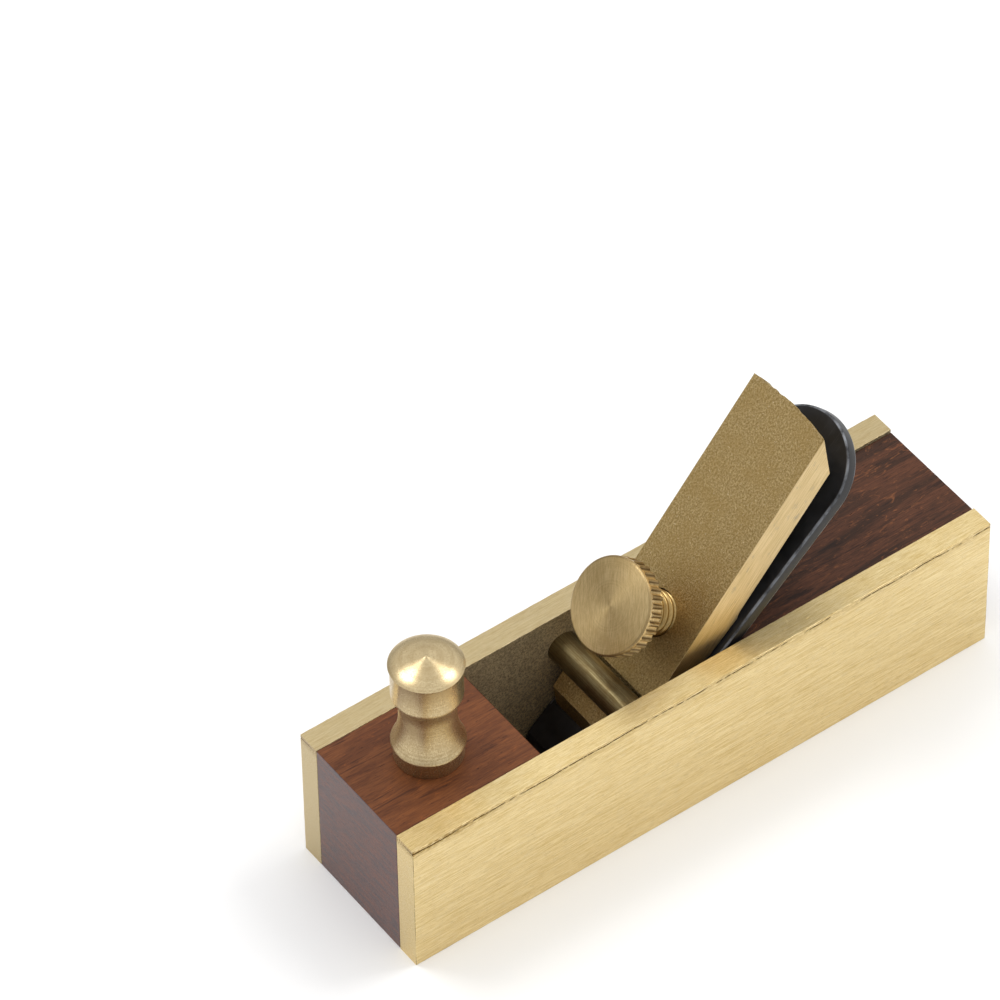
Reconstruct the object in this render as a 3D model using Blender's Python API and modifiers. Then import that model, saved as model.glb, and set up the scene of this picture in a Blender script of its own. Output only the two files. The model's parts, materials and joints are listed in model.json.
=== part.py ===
"""A miniature hand plane, 89 mm long, as an assembly of separate solids.

Two brass side plates hold a rosewood toe block and a rosewood heel block, which forms the
bed of the blade. A brass lever cap bears on a cross pin, and its thumbscrew clamps the blade.
+X runs from the toe to the heel, +Z is up, and the origin is the centre of the sole.
"""

import math

import bmesh
import bpy
from mathutils import Matrix

MM = 0.001

# Body
LENGTH = 89.0 * MM
WIDTH = 23.5 * MM
HEIGHT = 21.5 * MM
PLATE_THICKNESS = 3.4 * MM
PLATE_EASE = 0.3 * MM
GLUE_GAP = 0.05 * MM
FIT_GAP = 0.03 * MM

# Throat, toe block and heel block
THROAT_FRONT = -22.9 * MM
MOUTH_FRONT = -15.7 * MM
HEEL_DROP = 0.4 * MM
BED_LAND = 0.6 * MM

# Blade, which lies on the bed with its cutting edge at the sole
BED_ANGLE = math.radians(43.0)
EDGE_X = -14.1 * MM
EDGE_RISE = 0.02 * MM
BLADE_LENGTH = 59.3 * MM
BLADE_WIDTH = 15.8 * MM
BLADE_THICKNESS = 1.9 * MM
BLADE_BEVEL_ANGLE = math.radians(30.0)
BLADE_EASE = 0.2 * MM
BLADE_EDGE_FLAT = 0.1 * MM
TOP_ARC_POINTS = 24

# Cross pin
PIN_X = -7.24 * MM
PIN_Z = 15.57 * MM
PIN_RADIUS = 2.18 * MM
PIN_INSET = 1.8 * MM
PIN_CHAMFER = 0.3 * MM

# Lever cap, in its own frame: x runs up the cap from the pin's axis, y is its front normal
CAP_ANGLE = math.radians(50.0)
CAP_WIDTH = 14.0 * MM
CAP_THICKNESS = 5.0 * MM
CAP_FRONT = -1.12 * MM
CAP_LENGTH = 43.95 * MM
CAP_TOP_SLANT = 4.5 * MM
GROOVE_HALF_WIDTH = 2.3 * MM
CAP_NOSE = -5.2 * MM
NOSE_SLANT = 2.45 * MM
CAP_KNEE = 16.4 * MM
CAP_CROWN = 0.6 * MM
CROWN_STEPS = 12
CAP_EASE = 0.2 * MM
CAP_RELIEF = 0.4 * MM
NOSE_LAND = 1.3 * MM
NOSE_GAP = 0.05 * MM

# Thumbscrew, on the cap's front normal
SCREW_ARM = 11.6 * MM
SCREW_RADIUS = 2.95 * MM
SCREW_PITCH = 1.0 * MM
THREAD_DEPTH = 0.35 * MM
SCREW_TIP_GAP = 0.5 * MM
SCREW_TIP_LENGTH = 0.6 * MM
SCREW_TIP_EASE = 0.1 * MM
THREAD_SHAPE = ((0.3, 1.0), (0.5, 0.0), (0.75, 0.0), (0.95, 1.0))  # (share of pitch, of depth)
HEAD_STANDOFF = 9.37 * MM
HEAD_RADIUS = 6.25 * MM
HEAD_THICKNESS = 2.9 * MM
HEAD_CHAMFER = 0.25 * MM
KNURL_TEETH = 36
KNURL_DEPTH = 0.35 * MM
TOOTH_SHAPE = ((0.0, 1.0), (0.22, 0.1), (0.5, 0.0), (0.78, 0.1))  # (share of pitch, of depth)
STUB_RADIUS = 1.9 * MM
STUB_LENGTH = 1.6 * MM

# Front knob, with heights above its foot, and its stud
KNOB_X = -33.6 * MM
KNOB_HEIGHT = 17.7 * MM
KNOB_RIM_RADIUS = 4.74 * MM
KNOB_RIM_TOP = 16.0 * MM
KNOB_RIM_BOTTOM = 15.7 * MM
KNOB_BAND_RADIUS = 4.5 * MM
KNOB_BAND_TOP = 15.4 * MM
KNOB_BAND_BOTTOM = 11.3 * MM
KNOB_WAIST_RADIUS = 3.38 * MM
KNOB_WAIST_HEIGHT = 7.9 * MM
KNOB_FLARE_RADIUS = 4.7 * MM
KNOB_FLARE_HEIGHT = 2.7 * MM
KNOB_FOOT_RADIUS = 4.4 * MM
KNOB_FOOT_HEIGHT = 2.2 * MM
KNOB_FOOT_EASE = 0.15 * MM
KNOB_DOME_POWER = 1.5
KNOB_DOME_ROLL = 0.35 * MM
KNOB_ROLL_POWER = 8
KNOB_WAIST_POWER = 2.3
KNOB_CURVE_STEPS = 8
KNOB_BORE_DEPTH = 8.0 * MM
STUD_RADIUS = 1.6 * MM
STUD_REACH = 10.0 * MM

# Dowels that locate the blocks between the plates: (name, x, z)
DOWELS = (
    ("toe_dowel_front", -39.5 * MM, 7.0 * MM),
    ("toe_dowel_rear", -26.5 * MM, 7.0 * MM),
    ("heel_dowel_front", 9.0 * MM, 7.0 * MM),
    ("heel_dowel_rear", 35.0 * MM, 10.0 * MM),
)
DOWEL_RADIUS = 1.5 * MM
DOWEL_INSET = 1.6 * MM

ROUND_SEGMENTS = 48
SCREW_SEGMENTS = 32
SMALL_SEGMENTS = 24
BORE_END_GAP = 0.1 * MM
CUTTER_MARGIN = 2.0 * MM
CUTTER_DEPTH = 30.0 * MM
INNER_HALF_WIDTH = WIDTH / 2 - PLATE_THICKNESS
BLOCK_WIDTH = 2 * (INNER_HALF_WIDTH - GLUE_GAP)


def clear_scene():
    for obj in list(bpy.data.objects):
        bpy.data.objects.remove(obj, do_unlink=True)


def new_collection(name):
    collection = bpy.data.collections.new(name)
    bpy.context.scene.collection.children.link(collection)
    return collection


def new_material(name, colour, roughness, metallic):
    material = bpy.data.materials.new(name)
    material.use_nodes = True
    shader = material.node_tree.nodes["Principled BSDF"]
    shader.inputs["Base Color"].default_value = (*colour, 1.0)
    shader.inputs["Roughness"].default_value = roughness
    shader.inputs["Metallic"].default_value = metallic
    material.diffuse_color = (*colour, 1.0)
    return material


def new_object(name, mesh, collection, material=None):
    obj = bpy.data.objects.new(name, mesh)
    collection.objects.link(obj)
    if material:
        mesh.materials.append(material)
    return obj


def extruded(name, outline, width, collection, material=None):
    """A closed outline in the object's XY plane, extruded to this width along its Z."""
    curve = bpy.data.curves.new(name, "CURVE")
    curve.dimensions = "2D"
    curve.fill_mode = "BOTH"
    curve.extrude = width / 2
    spline = curve.splines.new("POLY")
    spline.points.add(len(outline) - 1)
    for point, (x, y) in zip(spline.points, outline):
        point.co = (x, y, 0.0, 1.0)
    spline.use_cyclic_u = True
    guide = bpy.data.objects.new(name + "_outline", curve)
    collection.objects.link(guide)
    graph = bpy.context.evaluated_depsgraph_get()
    mesh = bpy.data.meshes.new_from_object(guide.evaluated_get(graph))
    mesh.name = name
    weld_and_face_out(mesh)
    bpy.data.objects.remove(guide, do_unlink=True)
    return new_object(name, mesh, collection, material)


def weld_and_face_out(mesh):
    bm = bmesh.new()
    bm.from_mesh(mesh)
    bmesh.ops.remove_doubles(bm, verts=bm.verts, dist=1e-7)
    bmesh.ops.dissolve_limit(bm, angle_limit=0.001, verts=bm.verts, edges=bm.edges)
    bmesh.ops.recalc_face_normals(bm, faces=bm.faces)
    bm.to_mesh(mesh)
    bm.free()


def turned(name, profile, segments, collection, material=None):
    """A profile of (radius, height) points, from the top down, turned about the object's Z."""
    mesh = bpy.data.meshes.new(name)
    points = [(radius, 0.0, height) for radius, height in profile]
    mesh.from_pydata(points, [(i, i + 1) for i in range(len(points) - 1)], [])
    obj = new_object(name, mesh, collection, material)
    screw = obj.modifiers.new("turn", "SCREW")
    screw.axis = "Z"
    screw.angle = 2 * math.pi
    screw.steps = segments
    screw.render_steps = segments
    screw.use_merge_vertices = True
    screw.merge_threshold = 0.00001
    screw.use_smooth_shade = True
    return obj


def cylinder(name, radius, length, segments, collection, material=None):
    mesh = bpy.data.meshes.new(name)
    bm = bmesh.new()
    bmesh.ops.create_cone(
        bm, cap_ends=True, segments=segments, radius1=radius, radius2=radius, depth=length
    )
    bm.to_mesh(mesh)
    bm.free()
    return new_object(name, mesh, collection, material)


def box(name, size, centre, collection, material=None):
    mesh = bpy.data.meshes.new(name)
    bm = bmesh.new()
    bmesh.ops.create_cube(bm, size=1.0, matrix=Matrix.Diagonal((*size, 1.0)))
    bm.to_mesh(mesh)
    bm.free()
    obj = new_object(name, mesh, collection, material)
    obj.location = centre
    return obj


def bevel(obj, width, segments=2, by_weight=False, angle=math.radians(30.0)):
    modifier = obj.modifiers.new("ease", "BEVEL")
    modifier.width = width
    modifier.segments = segments
    modifier.limit_method = "WEIGHT" if by_weight else "ANGLE"
    modifier.angle_limit = angle
    modifier.harden_normals = False
    return modifier


def weigh_edges(mesh, chosen):
    """Marks the edges for which chosen(start, end) is true, for a bevel by weight."""
    weights = mesh.attributes.new("bevel_weight_edge", "FLOAT", "EDGE")
    for edge in mesh.edges:
        start, end = (mesh.vertices[i].co for i in edge.vertices)
        weights.data[edge.index].value = float(chosen(start, end))


def boolean(obj, cutter, operation="DIFFERENCE"):
    cutter.hide_render = True
    cutter.display_type = "WIRE"
    modifier = obj.modifiers.new(cutter.name, "BOOLEAN")
    modifier.operation = operation
    modifier.object = cutter
    modifier.solver = "EXACT"


def cross_hole(name, radius, length, x, z, cutters, segments=SMALL_SEGMENTS):
    """A cutter along Y, centred on the middle plane."""
    cutter = cylinder(name, radius, length, segments, cutters)
    cutter.location = (x, 0.0, z)
    cutter.rotation_euler = (math.pi / 2, 0.0, 0.0)
    return cutter


def upright(obj, x=0.0, z=0.0, angle=0.0):
    """Stands an extruded outline in the XZ plane, its x axis tilted up by this angle."""
    obj.location = (x, 0.0, z)
    obj.rotation_euler = (math.pi / 2, -angle, 0.0)
    return obj


def pin_length():
    return 2 * (INNER_HALF_WIDTH + PIN_INSET)


def dowel_length():
    return 2 * (INNER_HALF_WIDTH + DOWEL_INSET)


def make_side_plate(name, side, parts, cutters, brass):
    centre_y = side * (WIDTH - PLATE_THICKNESS) / 2
    size = (LENGTH, PLATE_THICKNESS, HEIGHT)
    plate = box(name, size, (0.0, centre_y, HEIGHT / 2), parts, brass)
    outer = side * PLATE_THICKNESS / 2

    def on_outer_face(start, end):
        return abs(start.y - outer) < 1e-6 and abs(end.y - outer) < 1e-6

    weigh_edges(plate.data, on_outer_face)
    bevel(plate, PLATE_EASE, segments=2, by_weight=True)
    boolean(plate, cutters["pin_holes"])
    for dowel_name, _, _ in DOWELS:
        boolean(plate, cutters[dowel_name])
    return plate


def make_toe_infill(parts, cutters, rosewood):
    toe = -LENGTH / 2
    outline = ((toe, 0.0), (MOUTH_FRONT, 0.0), (THROAT_FRONT, HEIGHT), (toe, HEIGHT))
    block = upright(extruded("toe_infill", outline, BLOCK_WIDTH, parts, rosewood))
    for name, x, _ in DOWELS:
        if x < THROAT_FRONT:
            boolean(block, cutters[name])
    boolean(block, cutters["stud_hole"])
    return block


def bed_x(z, offset=0.0):
    """Where the blade's underside, moved this far along its normal, is at this height."""
    across = offset / math.sin(BED_ANGLE)
    return EDGE_X + (z - EDGE_RISE) / math.tan(BED_ANGLE) - across


def make_heel_infill(parts, cutters, rosewood):
    heel = LENGTH / 2
    top = HEIGHT - HEEL_DROP
    outline = (
        (bed_x(BED_LAND, -GLUE_GAP), 0.0),
        (heel, 0.0),
        (heel, top),
        (bed_x(top, -GLUE_GAP), top),
        (bed_x(BED_LAND, -GLUE_GAP), BED_LAND),
    )
    block = upright(extruded("heel_infill", outline, BLOCK_WIDTH, parts, rosewood))
    for name, x, _ in DOWELS:
        if x > THROAT_FRONT:
            boolean(block, cutters[name])
    return block


def chamfered_rod(name, radius, length, chamfer, segments, parts, material):
    end = length / 2
    profile = (
        (0.0, end),
        (radius - chamfer, end),
        (radius, end - chamfer),
        (radius, chamfer - end),
        (radius - chamfer, -end),
        (0.0, -end),
    )
    return turned(name, profile, segments, parts, material)


def make_cross_pin(parts, brass):
    pin = chamfered_rod(
        "cross_pin", PIN_RADIUS, pin_length(), PIN_CHAMFER, ROUND_SEGMENTS, parts, brass
    )
    pin.location = (PIN_X, 0.0, PIN_Z)
    pin.rotation_euler = (math.pi / 2, 0.0, 0.0)
    return pin


def make_dowels(parts, brass):
    for name, x, z in DOWELS:
        dowel = chamfered_rod(
            name, DOWEL_RADIUS, dowel_length(), PIN_CHAMFER, SMALL_SEGMENTS, parts, brass
        )
        dowel.location = (x, 0.0, z)
        dowel.rotation_euler = (math.pi / 2, 0.0, 0.0)


def in_cap_frame(x, z):
    """A point of the XZ plane, in the lever cap's own frame."""
    dx = x - PIN_X
    dz = z - PIN_Z
    cosine = math.cos(CAP_ANGLE)
    sine = math.sin(CAP_ANGLE)
    return dx * cosine + dz * sine, dz * cosine - dx * sine


def above_blade(cap_x, gap):
    """The cap-frame y, at this cap-frame x, that lies this far above the blade's top face."""
    lean = CAP_ANGLE - BED_ANGLE
    start_x, start_y = in_cap_frame(bed_x(0.0, BLADE_THICKNESS + gap), 0.0)
    return start_y - (cap_x - start_x) * math.tan(lean)


def cap_outline():
    """The cap's side view, from the nose's front edge up the front and down the back."""
    bearing = -(PIN_RADIUS + FIT_GAP)
    back = CAP_FRONT - CAP_THICKNESS
    nose_x = CAP_NOSE - NOSE_SLANT
    land_end = nose_x + NOSE_LAND
    relief_start = land_end + CAP_RELIEF
    return (
        (nose_x, above_blade(nose_x, NOSE_GAP)),
        (land_end, above_blade(land_end, NOSE_GAP)),
        (relief_start, above_blade(relief_start, CAP_RELIEF)),
        (CAP_KNEE, above_blade(CAP_KNEE, CAP_RELIEF)),
        (CAP_KNEE + 2 * CAP_RELIEF, back),
        (CAP_LENGTH - CAP_TOP_SLANT, back),
        (CAP_LENGTH, CAP_FRONT),
        (GROOVE_HALF_WIDTH, CAP_FRONT),
        (GROOVE_HALF_WIDTH, bearing),
        (-GROOVE_HALF_WIDTH, bearing),
        (-GROOVE_HALF_WIDTH, CAP_FRONT),
        (CAP_NOSE, CAP_FRONT),
    )


def make_lever_cap(parts, cutters, brass):
    cap = extruded("lever_cap", cap_outline(), CAP_WIDTH, parts, brass)
    upright(cap, PIN_X, PIN_Z, CAP_ANGLE)
    bevel(cap, CAP_EASE, segments=1, angle=math.radians(60.0))
    boolean(cap, cutters["crown"], "INTERSECT")
    boolean(cap, cutters["screw_hole"])
    return cap


def crown_cutter(cutters):
    """A plan of the cap with a shallow arc across its top end, extruded through the cap."""
    half = CAP_WIDTH / 2 + CUTTER_MARGIN
    low = CAP_NOSE - NOSE_SLANT - CUTTER_MARGIN
    radius = (CAP_WIDTH**2 / 4 + CAP_CROWN**2) / (2 * CAP_CROWN)
    centre = CAP_LENGTH + GLUE_GAP - radius
    outline = [(low, half), (low, -half)]
    for step in range(CROWN_STEPS + 1):
        across = 2 * half * step / CROWN_STEPS - half
        outline.append((centre + math.sqrt(radius**2 - across**2), across))
    cutter = extruded("crown", outline, CUTTER_DEPTH, cutters)
    cutter.location = (PIN_X, 0.0, PIN_Z)
    cutter.rotation_euler = (0.0, -CAP_ANGLE, 0.0)
    return cutter


def on_cap(cap_x, cap_y):
    """A point of the cap's frame, in the world's."""
    cosine = math.cos(CAP_ANGLE)
    sine = math.sin(CAP_ANGLE)
    return PIN_X + cap_x * cosine - cap_y * sine, 0.0, PIN_Z + cap_x * sine + cap_y * cosine


def along_screw(obj, height):
    """Puts a turned piece on the screw's axis, this far above the cap's front face."""
    obj.location = on_cap(SCREW_ARM, CAP_FRONT + height)
    obj.rotation_euler = (0.0, -CAP_ANGLE, 0.0)
    return obj


def shank_bottom():
    """The screw tip's height above the cap's front face, which is negative."""
    return above_blade(SCREW_ARM, SCREW_TIP_GAP) - CAP_FRONT


def thread_profile():
    """(radius, height) from the stub that holds the head down to the screw's tip."""
    top = HEAD_STANDOFF - HEAD_THICKNESS - FIT_GAP
    bottom = shank_bottom()
    root = SCREW_RADIUS - THREAD_DEPTH
    profile = [
        (0.0, top + STUB_LENGTH),
        (STUB_RADIUS, top + STUB_LENGTH),
        (STUB_RADIUS, top),
        (root, top),
    ]
    for thread in range(int((top - bottom - SCREW_TIP_LENGTH) / SCREW_PITCH)):
        for share, depth in THREAD_SHAPE:
            profile.append((SCREW_RADIUS - depth * THREAD_DEPTH, top - (thread + share) * SCREW_PITCH))
    profile.append((root, bottom + SCREW_TIP_LENGTH))
    profile.append((root - SCREW_TIP_LENGTH, bottom + SCREW_TIP_EASE))
    profile.append((root - 2 * SCREW_TIP_LENGTH, bottom))
    profile.append((0.0, bottom))
    return profile


def make_thumbscrew_shank(parts, brass):
    shank = turned("thumbscrew_shank", thread_profile(), SCREW_SEGMENTS, parts, brass)
    return along_screw(shank, 0.0)


def knurl_outline():
    """Rounded teeth all round the head."""
    points = []
    for tooth in range(KNURL_TEETH):
        for share, depth in TOOTH_SHAPE:
            angle = 2 * math.pi * (tooth + share) / KNURL_TEETH
            radius = HEAD_RADIUS - depth * KNURL_DEPTH
            points.append((radius * math.cos(angle), radius * math.sin(angle)))
    return points


def make_thumbscrew_head(parts, cutters, brass):
    head = extruded("thumbscrew_head", knurl_outline(), HEAD_THICKNESS, parts, brass)
    along_screw(head, HEAD_STANDOFF - HEAD_THICKNESS / 2)
    boolean(head, cutters["head_chamfer"], "INTERSECT")
    boolean(head, cutters["stub_hole"])
    return head


def head_chamfer_cutter(cutters):
    """A disc that leaves a chamfer on both rims of the head, with its faces just inside the head's."""
    half = HEAD_THICKNESS / 2
    face = half - FIT_GAP / 3
    outside = HEAD_RADIUS + FIT_GAP
    profile = (
        (0.0, face),
        (HEAD_RADIUS - HEAD_CHAMFER, face),
        (outside, half - HEAD_CHAMFER),
        (outside, HEAD_CHAMFER - half),
        (HEAD_RADIUS - HEAD_CHAMFER, -face),
        (0.0, -face),
    )
    cutter = turned("head_chamfer", profile, 4 * KNURL_TEETH, cutters)
    return along_screw(cutter, HEAD_STANDOFF - half)


def blade_outline():
    """The blade's plan: square at the cutting edge, a half circle at the top."""
    half = BLADE_WIDTH / 2
    points = [(0.0, -half)]
    for step in range(TOP_ARC_POINTS + 1):
        angle = math.pi * step / TOP_ARC_POINTS - math.pi / 2
        centre = BLADE_LENGTH - half
        points.append((centre + half * math.cos(angle), half * math.sin(angle)))
    points.append((0.0, half))
    return points


def make_blade(parts, cutters, steel):
    blade = extruded("blade", blade_outline(), BLADE_THICKNESS, parts, steel)
    lift = BLADE_THICKNESS / 2
    blade.location = (
        EDGE_X - lift * math.sin(BED_ANGLE),
        0.0,
        EDGE_RISE + lift * math.cos(BED_ANGLE),
    )
    blade.rotation_euler = (0.0, -BED_ANGLE, 0.0)
    bevel(blade, BLADE_EASE, segments=1, angle=math.radians(60.0))
    boolean(blade, cutters["edge_bevel"])
    return blade


def edge_bevel_cutter(cutters):
    """A wedge above the cutting edge: it leaves the bevel on the blade's upper face."""
    reach = 2 * BLADE_THICKNESS / math.tan(BLADE_BEVEL_ANGLE)
    above = BLADE_EDGE_FLAT + 2 * BLADE_THICKNESS
    outline = (
        (-reach, BLADE_EDGE_FLAT),
        (0.0, BLADE_EDGE_FLAT),
        (reach, above),
        (-reach, above),
    )
    cutter = extruded("edge_bevel", outline, BLADE_WIDTH + CUTTER_MARGIN, cutters)
    return upright(cutter, EDGE_X, EDGE_RISE, BED_ANGLE)


def knob_waist(edge_radius, edge_height, share):
    """A point of the waist's curve, from its narrowest height (0) to this edge (1)."""
    radius = KNOB_WAIST_RADIUS + (edge_radius - KNOB_WAIST_RADIUS) * share**KNOB_WAIST_POWER
    return radius, KNOB_WAIST_HEIGHT + (edge_height - KNOB_WAIST_HEIGHT) * share


def knob_dome(share):
    """A point of the dome, from its crown (0) to its rim (1), where it rolls over."""
    cone = KNOB_HEIGHT - KNOB_RIM_TOP - KNOB_DOME_ROLL
    drop = cone * share**KNOB_DOME_POWER + KNOB_DOME_ROLL * share**KNOB_ROLL_POWER
    return KNOB_RIM_RADIUS * share, KNOB_HEIGHT - drop


def knob_profile():
    """(radius, height) from the crown down: dome, rim, band, waist, flared foot."""
    shares = [step / KNOB_CURVE_STEPS for step in range(KNOB_CURVE_STEPS + 1)]
    profile = [knob_dome(s) for s in shares]
    profile.append((KNOB_RIM_RADIUS, KNOB_RIM_BOTTOM))
    profile.append((KNOB_BAND_RADIUS, KNOB_BAND_TOP))
    profile += [knob_waist(KNOB_BAND_RADIUS, KNOB_BAND_BOTTOM, s) for s in reversed(shares)]
    profile += [knob_waist(KNOB_FLARE_RADIUS, KNOB_FLARE_HEIGHT, s) for s in shares[1:]]
    profile.append((KNOB_FOOT_RADIUS, KNOB_FOOT_HEIGHT))
    profile.append((KNOB_FOOT_RADIUS, KNOB_FOOT_EASE))
    profile.append((KNOB_FOOT_RADIUS - KNOB_FOOT_EASE, 0.0))
    profile.append((0.0, 0.0))
    return profile


def make_front_knob(parts, cutters, brass):
    knob = turned("front_knob", knob_profile(), ROUND_SEGMENTS, parts, brass)
    knob.location = (KNOB_X, 0.0, HEIGHT + GLUE_GAP)
    boolean(knob, cutters["stud_hole"])
    return knob


def make_knob_stud(parts, steel):
    length = STUD_REACH + GLUE_GAP + KNOB_BORE_DEPTH
    stud = chamfered_rod(
        "knob_stud", STUD_RADIUS, length, PIN_CHAMFER, SMALL_SEGMENTS, parts, steel
    )
    stud.location = (KNOB_X, 0.0, HEIGHT - STUD_REACH + length / 2)
    return stud


def make_cutters(collection):
    cutters = {}
    for name, x, z in DOWELS:
        length = dowel_length() + 2 * BORE_END_GAP
        radius = DOWEL_RADIUS + FIT_GAP
        cutters[name] = cross_hole(name + "_hole", radius, length, x, z, collection)
    cutters["pin_holes"] = cross_hole(
        "pin_holes",
        PIN_RADIUS + FIT_GAP,
        pin_length() + 2 * BORE_END_GAP,
        PIN_X,
        PIN_Z,
        collection,
        ROUND_SEGMENTS,
    )
    stud_length = STUD_REACH + GLUE_GAP + KNOB_BORE_DEPTH + 2 * BORE_END_GAP
    stud_hole = cylinder("stud_hole", STUD_RADIUS + FIT_GAP, stud_length, SMALL_SEGMENTS, collection)
    stud_hole.location = (KNOB_X, 0.0, HEIGHT - STUD_REACH - BORE_END_GAP + stud_length / 2)
    cutters["stud_hole"] = stud_hole
    screw_hole = cylinder(
        "screw_hole", SCREW_RADIUS + 2 * FIT_GAP, CUTTER_DEPTH, SCREW_SEGMENTS, collection
    )
    cutters["screw_hole"] = along_screw(screw_hole, 0.0)
    stub_depth = STUB_LENGTH + BORE_END_GAP
    stub_hole = cylinder(
        "stub_hole", STUB_RADIUS + FIT_GAP, 2 * stub_depth, SCREW_SEGMENTS, collection
    )
    cutters["stub_hole"] = along_screw(stub_hole, HEAD_STANDOFF - HEAD_THICKNESS)
    cutters["head_chamfer"] = head_chamfer_cutter(collection)
    cutters["edge_bevel"] = edge_bevel_cutter(collection)
    cutters["crown"] = crown_cutter(collection)
    return cutters


def keep_world_parent(child, parent):
    bpy.context.view_layer.update()
    child.parent = parent
    child.matrix_parent_inverse = parent.matrix_world.inverted()


def main():
    clear_scene()
    parts = new_collection("miniature_hand_plane")
    cutters = make_cutters(new_collection("cutters"))
    plate_brass = new_material("plate_brass", (0.78, 0.62, 0.33), 0.35, 1.0)
    cast_brass = new_material("cast_brass", (0.52, 0.42, 0.23), 0.5, 1.0)
    turned_brass = new_material("turned_brass", (0.72, 0.58, 0.34), 0.25, 1.0)
    rosewood = new_material("rosewood", (0.19, 0.075, 0.045), 0.4, 0.0)
    black_steel = new_material("black_steel", (0.025, 0.026, 0.028), 0.4, 0.6)
    make_side_plate("left_side_plate", -1, parts, cutters, plate_brass)
    make_side_plate("right_side_plate", 1, parts, cutters, plate_brass)
    make_toe_infill(parts, cutters, rosewood)
    make_heel_infill(parts, cutters, rosewood)
    make_cross_pin(parts, turned_brass)
    make_dowels(parts, turned_brass)
    make_blade(parts, cutters, black_steel)
    cap = make_lever_cap(parts, cutters, cast_brass)
    shank = make_thumbscrew_shank(parts, turned_brass)
    head = make_thumbscrew_head(parts, cutters, turned_brass)
    keep_world_parent(shank, cap)
    keep_world_parent(head, shank)
    make_front_knob(parts, cutters, turned_brass)
    make_knob_stud(parts, black_steel)


main()
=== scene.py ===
"""The looks of a miniature hand plane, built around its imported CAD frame.

Metres, +Z up, +X from the toe to the heel. Each visible piece replaces its CAD node with a
finely shaped mesh: worn edges, a helical thread, knurled teeth, turned curves. The hidden
dowels and the stud keep their CAD shapes.
"""

import json
import math

import bmesh
import bpy
from mathutils import Matrix, Vector, noise


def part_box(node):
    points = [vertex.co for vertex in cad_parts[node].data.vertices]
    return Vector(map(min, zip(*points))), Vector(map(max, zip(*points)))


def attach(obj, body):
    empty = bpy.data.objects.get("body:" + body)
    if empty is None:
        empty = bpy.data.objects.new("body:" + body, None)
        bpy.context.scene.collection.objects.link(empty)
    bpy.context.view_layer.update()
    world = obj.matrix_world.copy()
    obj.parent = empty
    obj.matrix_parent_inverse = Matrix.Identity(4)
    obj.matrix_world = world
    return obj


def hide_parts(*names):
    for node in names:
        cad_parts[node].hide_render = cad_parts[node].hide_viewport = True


MM = 0.001
PER_MM = 1000.0

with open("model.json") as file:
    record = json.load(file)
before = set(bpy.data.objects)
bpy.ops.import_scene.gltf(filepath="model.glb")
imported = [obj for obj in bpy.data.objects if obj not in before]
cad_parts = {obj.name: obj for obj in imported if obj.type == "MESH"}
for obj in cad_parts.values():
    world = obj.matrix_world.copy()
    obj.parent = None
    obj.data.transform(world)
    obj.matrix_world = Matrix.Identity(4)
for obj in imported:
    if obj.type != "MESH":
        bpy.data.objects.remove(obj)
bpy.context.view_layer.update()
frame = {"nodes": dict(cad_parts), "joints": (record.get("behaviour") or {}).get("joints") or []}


def joint(name):
    """The named joint's entry in the frame."""
    return next(j for j in frame["joints"] if j["name"] == name)


def joint_frame(origin, x_axis, z_axis):
    """The matrix of a local frame with these x and z axes."""
    matrix = Matrix((x_axis, z_axis.cross(x_axis), z_axis)).transposed().to_4x4()
    matrix.translation = origin
    return matrix


# Body, from the frame
BODY_LOW, BODY_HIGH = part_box("left_side_plate")
TOE_X = BODY_LOW.x
HEEL_X = BODY_HIGH.x
OUTER_Y = -BODY_LOW.y
INNER_Y = -BODY_HIGH.y
TOP_Z = BODY_HIGH.z
THROAT_FRONT = -22.9 * MM
MOUTH_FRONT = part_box("toe_infill")[1].x
HEEL_TOP_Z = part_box("heel_infill")[1].z
BLOCK_Y = INNER_Y - 0.01 * MM
DOWELS = {
    "toe_infill": ("toe_dowel_front", "toe_dowel_rear"),
    "heel_infill": ("heel_dowel_front", "heel_dowel_rear"),
}

# Bores: their play in the radius, how far they overrun, and their sides
FIT = 0.03 * MM
OVERRUN = 0.1 * MM
SMALL_BORE_SIDES = 32

# Edges of the plates and blocks
PLATE_EASE = 0.07 * MM
INNER_EASE = 0.06 * MM
BLOCK_EASE = 0.1 * MM
PLATE_SLICE = 0.4 * MM
BLOCK_SLICE = 1.2 * MM
EDGE_WOBBLE = 0.05 * MM
SAME_PLACE = 1e-6
BURR_DROP = 0.5 * MM
BURR_HALF = 0.17 * MM
BURR_DEPTH = 0.26 * MM
PITS_BELOW = 1.7 * MM

# Blade
Y_AXIS = Vector((0.0, 1.0, 0.0))
BED_AXIS = Vector(joint("blade_slide")["axis"]).normalized()
EDGE = Vector((-14.1 * MM, 0.0, 0.02 * MM))
BLADE_FRAME = joint_frame(EDGE, BED_AXIS, BED_AXIS.cross(Y_AXIS))
BLADE_LENGTH = 59.3 * MM
BLADE_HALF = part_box("blade")[1].y
BLADE_THICKNESS = 1.9 * MM
BLADE_EASE = 0.32 * MM
BLADE_BEVEL_ANGLE = math.radians(30.0)
BLADE_EDGE_FLAT = 0.05 * MM
BLADE_GROUND_LENGTH = 4.0 * MM
BLADE_END_STEPS = 72

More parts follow.
